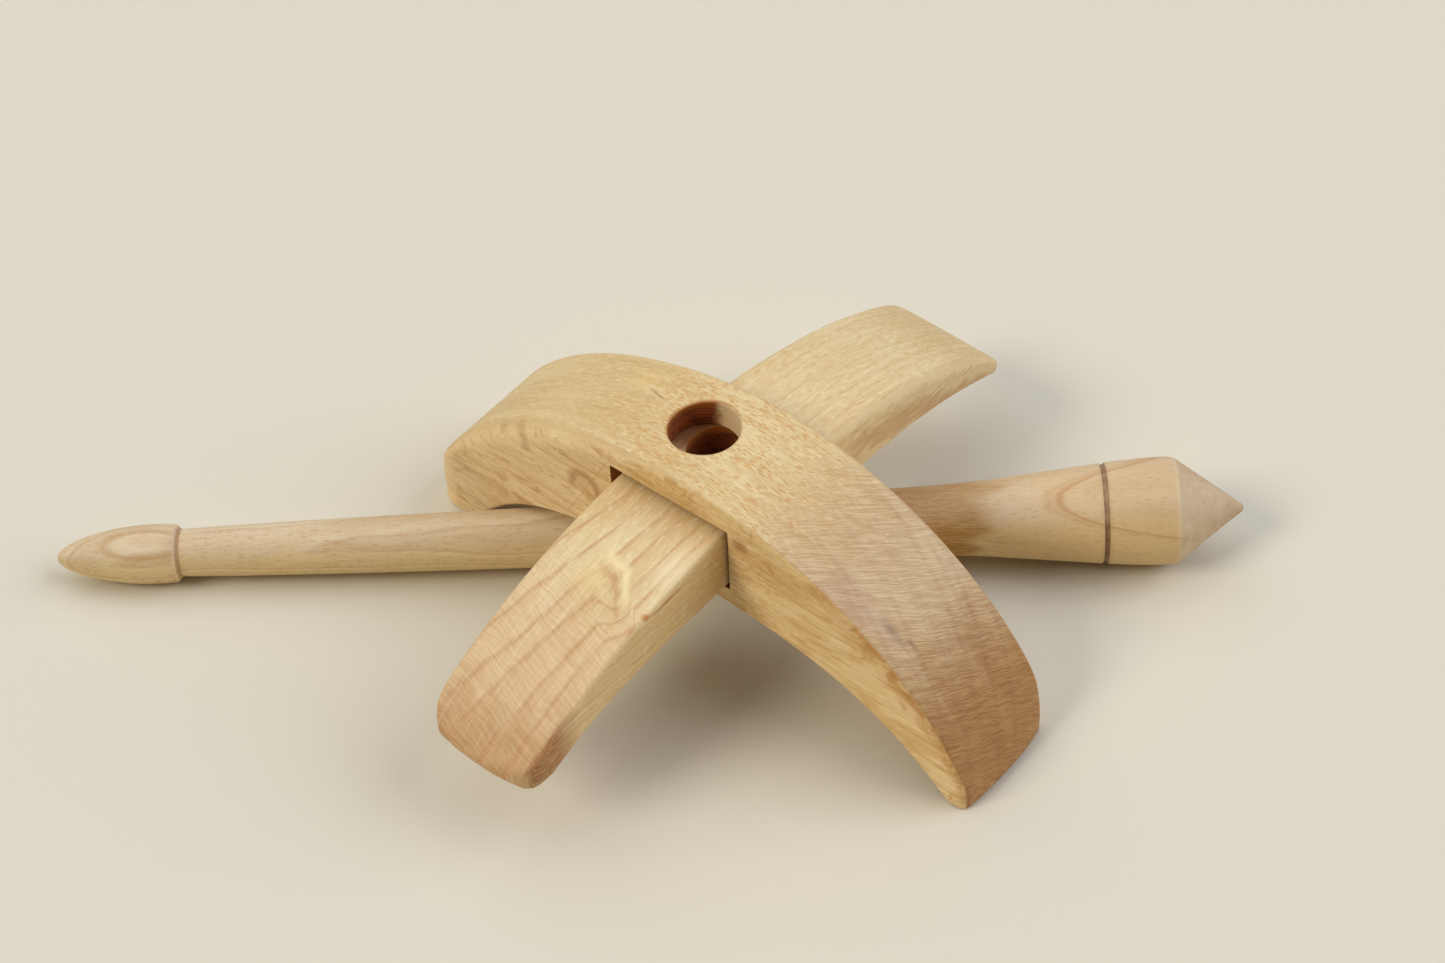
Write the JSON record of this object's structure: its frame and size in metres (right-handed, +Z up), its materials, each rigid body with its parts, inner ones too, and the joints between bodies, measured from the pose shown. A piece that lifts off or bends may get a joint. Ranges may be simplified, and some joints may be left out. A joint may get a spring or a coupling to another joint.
{
  "type": "turkish drop spindle",
  "caption": "Wooden Turkish drop spindle laid down: a curved arm through a mortise in a wider one, both bored for the tapered turned shaft lying beneath.",
  "frame": {"origin": "centre of the bounding box's base, on the surface the spindle lies on", "axes": "+X along the shaft from its thin end to its fat end, +Z up; the arms' bores are vertical and the wide side of the view is from -Y"},
  "size_m": [0.2174, 0.1098, 0.0439],
  "materials": {
    "outer_maple": "oiled, satin",
    "inner_maple": "oiled, satin",
    "shaft_wood": "sanded, dull"
  },
  "bodies": {
    "outer_arm": {"outer_arm": "outer_maple"},
    "inner_arm": {"inner_arm": "inner_maple"},
    "shaft": {"shaft": "shaft_wood"}
  },
  "joints": [
    {"name": "inner_arm_draw", "type": "hinge", "parent": "outer_arm", "child": "inner_arm", "pos_m": [0.01426, -0.00154, -0.2062], "axis": [-0.7513, 0.66, 0], "range_deg": [-10, 10]},
    {"name": "shaft_draw", "type": "slide", "parent": "outer_arm", "child": "shaft", "axis": [1, 0, 0], "range_m": [-0.012, 0.16]}
  ]
}
